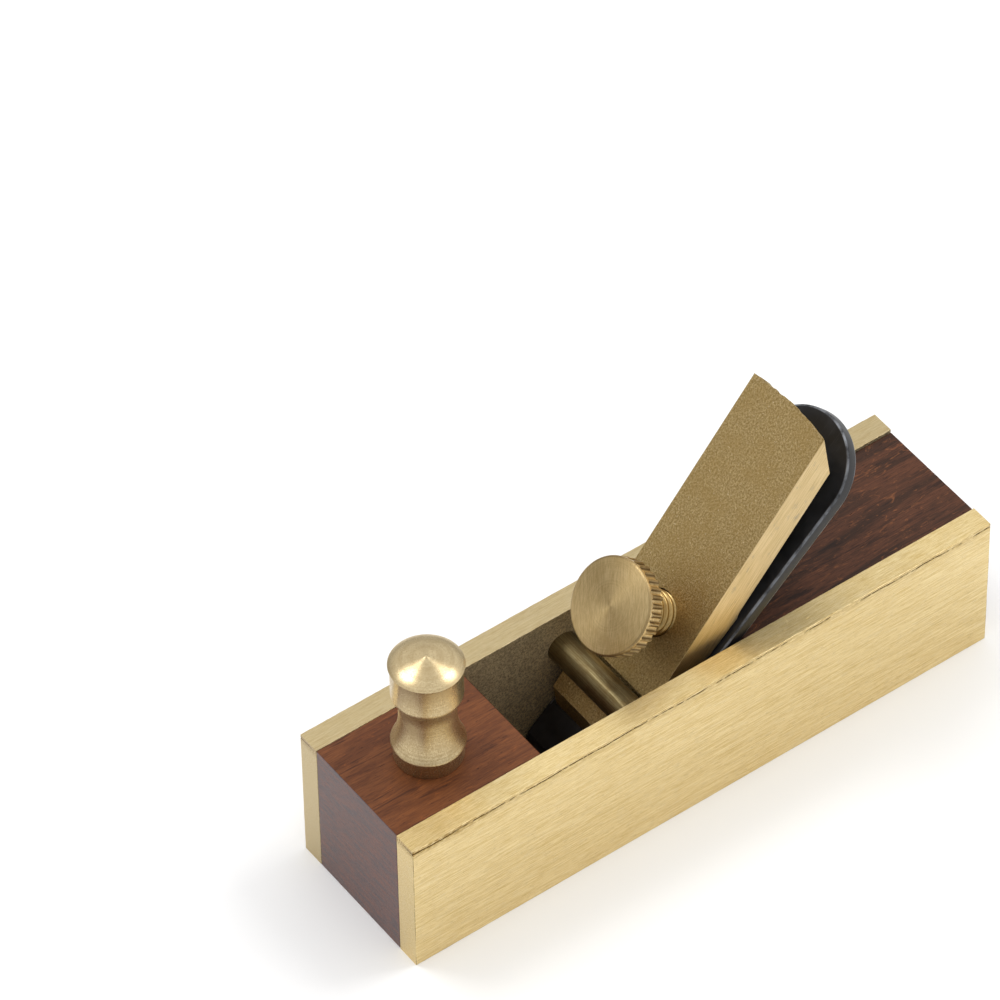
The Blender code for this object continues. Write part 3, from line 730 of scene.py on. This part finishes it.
def burr_strength(x, seed):
    """How far the burr below the top edge has opened into a dark line, 0 to 1."""
    place = x * PER_MM
    broad = noise.noise((place * 0.21, seed, 1.7))
    broken = noise.noise((place * 1.3, seed, 4.1))
    faded = 0.35 * min(1.0, max(0.0, (place + 5.0) / 30.0))
    return min(1.0, max(0.0, 0.75 - faded + 1.2 * broad + 0.8 * broken))


def burr_wander(x, seed):
    """How far the burr strays up or down."""
    place = x * PER_MM
    slow = 0.22 * MM * noise.noise((place * 0.16, seed, 8.3))
    quick = 0.08 * MM * noise.noise((place, seed, 2.3))
    return slow + quick


def on_plane(vertex, axis, place):
    return abs(vertex.co[axis] - place) < SAME_PLACE


def open_burr(bm, side, outer, burr_z, seed):
    """Sinks the burr's line into the outer face and lets it wander. It is darkened along its line."""
    grime_and_shade = bm.verts.layers.float.new("grime_and_shade")
    for vertex in bm.verts:
        drop = vertex.co.z - burr_z
        if on_plane(vertex, 1, outer) and abs(drop) < 1.1 * BURR_HALF:
            if abs(drop) < SAME_PLACE:
                vertex[grime_and_shade] = burr_strength(vertex.co.x, seed)
                vertex.co.y -= side * BURR_DEPTH * vertex[grime_and_shade]
            vertex.co.z += burr_wander(vertex.co.x, seed)


def soil_edges(bm):
    """Grime on the plate's upright corners and along its top inner edge."""
    grime_and_shade = bm.verts.layers.float["grime_and_shade"]
    wear = bm.verts.layers.float["wear"]
    for vertex in bm.verts:
        upright_corner = vertex.co.x < TOE_X + PLATE_EASE or vertex.co.x > HEEL_X - PLATE_EASE
        top_inside = vertex.co.z > TOP_Z - INNER_EASE and abs(vertex.co.y) < INNER_Y + 0.5 * MM
        place = vertex.co * PER_MM * 0.8
        if vertex[wear] > 0 and upright_corner and abs(vertex.co.y) > INNER_Y + MM:
            vertex[grime_and_shade] = 0.5 + 0.6 * noise.noise(place)
        elif vertex[wear] > 0 and top_inside:
            vertex[grime_and_shade] = 0.55 + 0.8 * noise.noise(place)


def side_plate(name, side, material, seed, cad_node):
    """A plate with small rounded edges and a burr below its top outer edge."""
    outline = ((TOE_X, 0.0), (HEEL_X, 0.0), (HEEL_X, TOP_Z), (TOE_X, TOP_Z))
    inner, outer = side * INNER_Y, side * OUTER_Y
    bm = prism(outline, min(inner, outer), max(inner, outer))
    burr_z = TOP_Z - BURR_DROP
    slice_at(bm, 0, between(TOE_X, HEEL_X, PLATE_SLICE))
    slice_at(bm, 2, between(1.0 * MM, TOP_Z - 1.0 * MM, 2.0 * MM))
    slice_at(bm, 2, (burr_z - BURR_HALF, burr_z, burr_z + BURR_HALF))
    open_burr(bm, side, outer, burr_z, seed)
    ease_edges(bm, PLATE_EASE, lambda e: all(on_plane(v, 1, outer) for v in e.verts), segments=2)
    ease_edges(bm, INNER_EASE, lambda e: all(on_plane(v, 1, inner) for v in e.verts), segments=2)
    soil_edges(bm)
    plate = new_piece(name, bm, material, "plane_body", "plate_brass", cad_node)
    pin_place = across(PIVOT.x, PIVOT.z)
    cut(plate, round_tool("pin_bore", PIN_RADIUS + FIT, PIN_HALF + OVERRUN, pin_place))
    for dowel in DOWELS["toe_infill"] + DOWELS["heel_infill"]:
        cut(plate, dowel_tool(dowel))


def dowel_tool(dowel):
    """A cutter for the bore that this CAD dowel sits in."""
    low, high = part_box(dowel)
    centre = (low + high) / 2
    radius = (high.z - low.z) / 2 + FIT
    place = across(centre.x, centre.z)
    return round_tool(dowel + "_bore", radius, high.y + OVERRUN, place, SMALL_BORE_SIDES)


def stud_tool():
    """A cutter for the upright bore that the knob's stud sits in."""
    low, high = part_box("knob_stud")
    radius = (high.y - low.y) / 2 + FIT
    half_length = (high.z - low.z) / 2 + OVERRUN
    place = Matrix.Translation((low + high) / 2)
    return round_tool("stud_bore", radius, half_length, place, SMALL_BORE_SIDES)


def wood_block(name, outline, material, cad_node):
    """A rosewood block between the plates, bored for its dowels."""
    bm = prism(outline, -BLOCK_Y, BLOCK_Y)
    xs = [x for x, _ in outline]
    slice_at(bm, 0, between(min(xs), max(xs), BLOCK_SLICE))
    ease_edges(bm, BLOCK_EASE, segments=2)
    block = new_piece(name, bm, material, "plane_body", "rosewood", cad_node)
    for dowel in DOWELS[cad_node]:
        cut(block, dowel_tool(dowel))
    return block


def toe_block():
    outline = ((TOE_X, 0.0), (MOUTH_FRONT, 0.0), (THROAT_FRONT, TOP_Z), (TOE_X, TOP_Z))
    cut(wood_block("toe_block", outline, TOE_WOOD, "toe_infill"), stud_tool())


def heel_block():
    """The block behind the throat. Its front face lies just behind the blade's bed."""
    land = 0.6 * MM
    slope = BED_AXIS.x / BED_AXIS.z
    back = 0.05 * MM / BED_AXIS.z

    def bed_x(z):
        return EDGE.x + (z - EDGE.z) * slope + back

    outline = ((bed_x(land), 0.0), (HEEL_X, 0.0), (HEEL_X, HEEL_TOP_Z),
               (bed_x(HEEL_TOP_Z), HEEL_TOP_Z), (bed_x(land), land))
    wood_block("heel_block", outline, HEEL_WOOD, "heel_infill")


def pin():
    """The cross pin, with a small chamfer at both ends."""
    soft = PIN_CHAMFER / 3
    profile = [
        (0.4 * PIN_RADIUS, PIN_HALF),
        (PIN_RADIUS - PIN_CHAMFER - soft, PIN_HALF),
        (PIN_RADIUS - PIN_CHAMFER, PIN_HALF - soft / 3),
        (PIN_RADIUS - soft / 3, PIN_HALF - PIN_CHAMFER),
        (PIN_RADIUS, PIN_HALF - PIN_CHAMFER - soft),
    ]
    profile += [(radius, -height) for radius, height in reversed(profile)]
    new_piece("pin", turned(profile, 96), PIN_SHADED_BRASS, "plane_body", "turned_brass", "cross_pin",
              place=across(PIVOT.x, PIVOT.z))


def blade():
    """Square at the cutting edge, a half circle at the top, with the bevel ground on top."""
    outline = [(0.0, -BLADE_HALF)]
    centre = BLADE_LENGTH - BLADE_HALF
    for step in range(BLADE_END_STEPS + 1):
        angle = math.pi * step / BLADE_END_STEPS - math.pi / 2
        outline.append((centre + BLADE_HALF * math.cos(angle), BLADE_HALF * math.sin(angle)))
    outline.append((0.0, BLADE_HALF))
    bm = prism(outline, 0.0, BLADE_THICKNESS, upright=False)
    slice_at(bm, 0, between(0.0, centre, BLADE_GROUND_LENGTH))
    normal = Vector((-math.sin(BLADE_BEVEL_ANGLE), 0.0, math.cos(BLADE_BEVEL_ANGLE)))
    ground = bmesh.ops.bisect_plane(
        bm, geom=everything(bm), plane_co=(0.0, 0.0, BLADE_EDGE_FLAT), plane_no=normal,
        clear_outer=True,
    )
    rim = [e for e in ground["geom_cut"] if isinstance(e, bmesh.types.BMEdge)]
    bmesh.ops.edgeloop_fill(bm, edges=rim)
    bmesh.ops.recalc_face_normals(bm, faces=bm.faces)
    ease_edges(bm, BLADE_EASE, lambda e: min(v.co.x for v in e.verts) > BLADE_GROUND_LENGTH,
               segments=4, wobble=0.0)
    for face in bm.faces:
        if abs(face.normal.z) < 0.5:
            face.smooth = True
    new_piece("plane_iron", bm, STEEL, "blade", "black_steel", "blade", place=BLADE_FRAME)


def above_blade(cap_x, gap):
    """The cap-frame z, at this cap-frame x, that lies this far above the blade's top face."""
    into_cap = CAP_FRAME.inverted() @ BLADE_FRAME
    start = into_cap @ Vector((0.0, 0.0, BLADE_THICKNESS + gap))
    along = into_cap.to_3x3() @ Vector((1.0, 0.0, 0.0))
    return start.z + (cap_x - start.x) * along.z / along.x


def cap_outline():
    """The cap's side view: nose, pin groove, front face, slanted top end, back, nose land."""
    bearing = -(PIN_RADIUS + 0.03 * MM)
    back = CAP_FRONT - CAP_THICKNESS
    nose_x = CAP_NOSE - NOSE_SLANT
    land_end = nose_x + NOSE_LAND
    relief = land_end + CAP_RELIEF
    return [
        (nose_x, above_blade(nose_x, NOSE_GAP)),
        (land_end, above_blade(land_end, NOSE_GAP)),
        (relief, above_blade(relief, CAP_RELIEF)),
        (CAP_KNEE, above_blade(CAP_KNEE, CAP_RELIEF)),
        (CAP_KNEE + 2 * CAP_RELIEF, back),
        (CAP_LENGTH - CAP_TOP_SLANT, back),
        (CAP_LENGTH, CAP_FRONT),
        (GROOVE_HALF, CAP_FRONT),
        (GROOVE_HALF, bearing),
        (-GROOVE_HALF, bearing),
        (-GROOVE_HALF, CAP_FRONT),
        (CAP_NOSE, CAP_FRONT),
    ]


def chip_cap(bm):
    """Curves the cap's top end into a low crown, and chips that end and the side edges."""
    wear = bm.verts.layers.float["wear"]
    bend = (CAP_HALF**2 + CAP_CROWN**2) / (2 * CAP_CROWN)
    slanted = CAP_LENGTH - CAP_TOP_SLANT - CAP_EASE
    for vertex in bm.verts:
        share = min(1.0, max(0.0, (vertex.co.x - slanted) / CAP_CROWN_REACH + 1))
        at_end = share > 0.95
        chip = at_end * max(0.0, noise.noise(vertex.co * PER_MM * 0.9))
        vertex.co.x -= share * vertex.co.y**2 / (2 * bend) + CAP_CHIP * chip
        at_side = abs(vertex.co.y) > CAP_HALF - 1.5 * CAP_EASE and vertex[wear] > 0
        chip = at_side * max(0.0, noise.noise(vertex.co * PER_MM * 1.1))
        vertex.co.y *= 1 - chip * CAP_CHIP / CAP_HALF


def lever_cap():
    """The cast cap, with a plain bore for the screw."""
    bm = prism(cap_outline(), -CAP_HALF, CAP_HALF)
    slice_at(bm, 0, between(CAP_NOSE, CAP_LENGTH - CAP_TOP_SLANT, 0.5 * MM))
    slice_at(bm, 1, between(-CAP_HALF, CAP_HALF, 0.4 * MM))
    ease_edges(bm, CAP_EASE, wobble=CAP_WOBBLE)
    chip_cap(bm)
    cap = new_piece("cap_casting", bm, CAP_BRASS, "lever_cap", "cast_brass", "lever_cap",
                    place=CAP_FRAME)
    cut(cap, round_tool("screw_bore", SCREW_RADIUS + 0.13 * MM, 30 * MM, SCREW_FRAME, 96))


def thread_rows():
    """The shank's rows, top first: a right-hand helix that fades out at both ends."""
    top = HEAD_TOP - HEAD_THICKNESS - FIT
    root = SCREW_RADIUS - THREAD_DEPTH
    per_pitch = 14
    count = int((top - SCREW_TIP) / SCREW_PITCH * per_pitch)

    def row_at(height):
        from_ends = min(top - height, height - SCREW_TIP) / SCREW_PITCH
        fade = min(1.0, max(0.0, 1.6 * from_ends - 0.2))

        def row(share):
            phase = (height / SCREW_PITCH - share) % 1.0
            flank = min(1.0, max(0.0, 2.6 * (0.5 - abs(phase - 0.5))))
            radius = root + THREAD_DEPTH * fade * flank * flank * (3 - 2 * flank)
            return radius * min(1.0, 0.78 + 0.5 * from_ends), height

        return row

    rows = [row_at(top - (top - SCREW_TIP) * i / count) for i in range(count + 1)]
    stub = [(STUB_RADIUS, top + STUB_LENGTH), (STUB_RADIUS, top)]
    return [lambda share, p=point: p for point in stub] + rows


def thread():
    """The shank, whose plain stub sits in the head."""
    bm = ring_mesh(thread_rows(), 72)
    new_piece("screw_thread", bm, THREAD_SHADED_BRASS, "thumbscrew_shank", "turned_brass",
              "thumbscrew_shank", place=SCREW_FRAME)


def knurl_depth(share, below):
    """The groove's depth at a share of the turn, this far below the head's face."""
    run_out = min(1.0, max(0.0, (below - KNURL_START) / KNURL_ARCH))
    half = KNURL_HALF * math.sqrt(1 - (1 - run_out) ** 2)
    pitch = 2 * math.pi * HEAD_RADIUS / KNURL_TEETH
    aside = abs((share * KNURL_TEETH) % 1.0 - 0.5) * pitch
    if aside >= half:
        return 0.0
    return KNURL_DEPTH * (half / KNURL_HALF) * (1 - (aside / half) ** 2) ** 0.6


def knurl_row(below, rim_radius):
    """A row of the rim: plain near the face, then round-ended grooves between the teeth."""
    def row(share):
        return min(rim_radius, HEAD_RADIUS - knurl_depth(share, below)), HEAD_TOP - below

    return row


def head_rows():
    """The knurled head's rows, from its face down to its underside."""
    face_radius = HEAD_RADIUS - HEAD_CHAMFER
    rows = [knurl_row(0.0, STUB_RADIUS + OVERRUN), knurl_row(0.0, face_radius - HEAD_SOFT),
            knurl_row(0.25 * HEAD_SOFT, face_radius)]
    for share in shares_up_to_one(6):
        below = HEAD_SOFT + (HEAD_CHAMFER_HEIGHT - HEAD_SOFT) * share
        round_off = (HEAD_CHAMFER - HEAD_SOFT) * math.sin(share * math.pi / 2)
        rows.append(knurl_row(below, face_radius + HEAD_SOFT + round_off))
    start = KNURL_START + KNURL_ARCH
    lower = HEAD_THICKNESS - 1.5 * HEAD_CHAMFER
    for upper, bottom, steps in ((HEAD_CHAMFER_HEIGHT, start, 10), (start, lower, 4)):
        rows += [knurl_row(upper + (bottom - upper) * share, HEAD_RADIUS)
                 for share in shares_up_to_one(steps)]
    for share in shares_up_to_one(5):
        rim_radius = HEAD_RADIUS - 1.1 * HEAD_CHAMFER * share
        rows.append(knurl_row(lower + 1.5 * HEAD_CHAMFER * share, rim_radius))
    rows.append(knurl_row(HEAD_THICKNESS, STUB_RADIUS + OVERRUN))
    return rows


def darken_knurl(bm):
    """Painted shade: dark flanks to the grooves, bright floors, and duller teeth and face edge."""
    grime_and_shade = bm.verts.layers.float.new("grime_and_shade")
    for vertex in bm.verts:
        share = (math.atan2(vertex.co.y, vertex.co.x) / (2 * math.pi)) % 1.0
        below = HEAD_TOP - vertex.co.z
        depth = knurl_depth(share, below) / KNURL_DEPTH
        on_edge = 0 < below < HEAD_CHAMFER_HEIGHT
        on_tooth = below > KNURL_START + 0.3 * KNURL_ARCH and depth < 0.05
        # painted shade: most on the groove flanks, half on the face edge and the teeth
        vertex[grime_and_shade] = max((4 * depth * (1 - depth)) ** 2, 0.5 * on_edge, 0.5 * on_tooth)


def head():
    """The knurled head, bored from below for the shank's stub."""
    bm = ring_mesh(head_rows(), 16 * KNURL_TEETH)
    darken_knurl(bm)
    piece = new_piece("screw_head", bm, FACE_BRASS, "thumbscrew_head", "turned_brass",
                      "thumbscrew_head", place=SCREW_FRAME)
    place = SCREW_FRAME @ Matrix.Translation((0.0, 0.0, HEAD_TOP - HEAD_THICKNESS))
    cut(piece, round_tool("stub_bore", STUB_RADIUS + FIT, STUB_LENGTH + OVERRUN, place))
    piece.data.set_sharp_from_angle(angle=math.radians(40.0))


def knob_waist(edge_radius, edge_height, share):
    """A point of the waist's curve, from its narrowest place (0) to this edge (1)."""
    radius = KNOB_WAIST_RADIUS + (edge_radius - KNOB_WAIST_RADIUS) * share**KNOB_WAIST_POWER
    return radius, KNOB_WAIST_HEIGHT + (edge_height - KNOB_WAIST_HEIGHT) * share


def knob_dome(share):
    """A point of the dome, from its crown (0) to its rim (1), where it rolls over."""
    cone = KNOB_HEIGHT - KNOB_RIM_TOP - KNOB_DOME_ROLL
    drop = cone * share**KNOB_DOME_POWER + KNOB_DOME_ROLL * share**KNOB_ROLL_POWER
    tip = KNOB_NIPPLE * math.exp(-((share / 0.07) ** 2))
    return KNOB_RIM_RADIUS * share, KNOB_HEIGHT - KNOB_NIPPLE - drop + tip


def knob_profile():
    """(radius, height) from the crown down: dome, rim, band, waist, flared foot."""
    shares = [step / KNOB_CURVE_STEPS for step in range(KNOB_CURVE_STEPS + 1)]
    profile = [knob_dome(s) for s in (0.01, 0.03, 0.05, 0.07, 0.1)]
    profile += [knob_dome(s) for s in shares[3:]]
    profile += [
        (KNOB_RIM_RADIUS, KNOB_RIM_BOTTOM + KNOB_SOFT),
        (KNOB_RIM_RADIUS - KNOB_SOFT, KNOB_RIM_BOTTOM),
        (KNOB_BAND_RADIUS + KNOB_SOFT, KNOB_BAND_TOP + KNOB_SOFT),
        (KNOB_BAND_RADIUS, KNOB_BAND_TOP - KNOB_SOFT),
        (KNOB_BAND_RADIUS, KNOB_BAND_BOTTOM + 0.35 * MM),
    ]
    profile += [knob_waist(KNOB_BAND_RADIUS, KNOB_BAND_BOTTOM, s) for s in reversed(shares)]
    profile += [knob_waist(KNOB_FLARE_RADIUS, KNOB_FLARE_HEIGHT, s) for s in shares[1:]]
    profile += [
        (KNOB_FLARE_RADIUS, KNOB_FLARE_HEIGHT - KNOB_SOFT),
        (KNOB_FOOT_RADIUS + KNOB_SOFT, KNOB_FOOT_HEIGHT + KNOB_SOFT),
        (KNOB_FOOT_RADIUS, KNOB_FOOT_HEIGHT - KNOB_SOFT),
        (KNOB_FOOT_RADIUS, 2 * KNOB_SOFT),
        (KNOB_FOOT_RADIUS - KNOB_SOFT, 0.0),
        (2.0 * MM, 0.0),
    ]
    return profile


def knob():
    """The front knob, bored from below for its stud."""
    centre = (KNOB_LOW + KNOB_HIGH) / 2
    place = Matrix.Translation((centre.x, centre.y, KNOB_LOW.z))
    piece = new_piece("knob_turning", turned(knob_profile(), 144), KNOB_BRASS, "plane_body",
                      "turned_brass", "front_knob", place=place)
    cut(piece, stud_tool())
    piece.data.set_sharp_from_angle(angle=math.radians(50.0))


def hidden_pieces():
    """The dowels and the stud keep their CAD meshes, with the pin's and the blade's finish."""
    looks = {name: PIN_SHADED_BRASS for name in DOWELS["toe_infill"] + DOWELS["heel_infill"]}
    looks["knob_stud"] = STEEL
    for name, material in looks.items():
        materials = frame["nodes"][name].data.materials
        materials.clear()
        materials.append(material)


# ---------------------------------------------------------------- studio

# The photo's viewing angle
CAMERA_AT = Vector((-0.379434, -0.501550, 0.733311))
CAMERA_RIGHT = Vector((0.806425, -0.591201, -0.012610))
CAMERA_FORWARD = Vector((0.391313, 0.549514, -0.738179))
LENS = 276.955
SENSOR = 36.0
FLOOR_SIZE = 6.0
LAMP_DISTANCE = 0.7
LAMP_SIZE = 0.22
LAMP_POWER = 1.1
HORIZON_STRENGTH = 0.34
SKY_STRENGTH = 0.96
DIM_TOWARDS = Vector((-0.795, 0.55, 0.257)).normalized()
DIM_STRENGTH = 0.7


def camera():
    data = bpy.data.cameras.new("camera")
    data.sensor_width = SENSOR
    data.lens = LENS
    data.clip_end = 2 * FLOOR_SIZE
    obj = bpy.data.objects.new("camera", data)
    bpy.context.scene.collection.objects.link(obj)
    obj.matrix_world = joint_frame(CAMERA_AT, CAMERA_RIGHT, -CAMERA_FORWARD)
    bpy.context.scene.camera = obj


def softbox(name, direction):
    """A square lamp in this direction from the object, facing it."""
    data = bpy.data.lights.new(name, "AREA")
    data.shape = "SQUARE"
    data.size = LAMP_SIZE
    data.energy = LAMP_POWER
    lamp = bpy.data.objects.new(name, data)
    bpy.context.scene.collection.objects.link(lamp)
    towards = Vector(direction).normalized()
    lamp.location = towards * LAMP_DISTANCE
    lamp.rotation_mode = "QUATERNION"
    lamp.rotation_quaternion = towards.to_track_quat("Z", "Y")


def studio_world():
    """White surroundings that dim towards the horizon, most of all beyond the toe."""
    world = bpy.data.worlds.new("studio")
    bpy.context.scene.world = world
    world.use_nodes = True
    tree = world.node_tree
    direction = node(tree, "TexCoord").outputs["Generated"]
    facing = node(tree, "VectorMath", {0: direction, 1: DIM_TOWARDS}, operation="DOT_PRODUCT")
    dimmed = spread(tree, facing.outputs["Value"], 0.55, 0.98, 1.0, DIM_STRENGTH)
    height = node(tree, "SeparateXYZ", {0: direction}).outputs["Z"]
    strength = spread(tree, height, 0.05, 0.55, HORIZON_STRENGTH, SKY_STRENGTH)
    strength = times(tree, strength, dimmed)
    background = tree.nodes["Background"]
    background.inputs["Color"].default_value = (1.0, 1.0, 1.0, 1.0)
    tree.links.new(strength, background.inputs["Strength"])


def floor():
    bm = bmesh.new()
    bmesh.ops.create_grid(bm, x_segments=1, y_segments=1, size=FLOOR_SIZE / 2)
    mesh = bpy.data.meshes.new("floor")
    bm.to_mesh(mesh)
    bm.free()
    mesh.materials.append(FLOOR)
    obj = bpy.data.objects.new("floor", mesh)
    bpy.context.scene.collection.objects.link(obj)


def main():
    side_plate("left_plate", -1, NEAR_PLATE, 3.0, "left_side_plate")
    side_plate("right_plate", 1, FAR_PLATE, 11.0, "right_side_plate")
    toe_block()
    heel_block()
    pin()
    blade()
    lever_cap()
    thread()
    head()
    knob()
    hidden_pieces()
    floor()
    camera()
    studio_world()
    softbox("left_softbox", (-0.237, 0.392, 0.888))
    softbox("right_softbox", (0.475, -0.105, 0.873))
    bpy.context.scene.view_settings.view_transform = "Standard"


main()
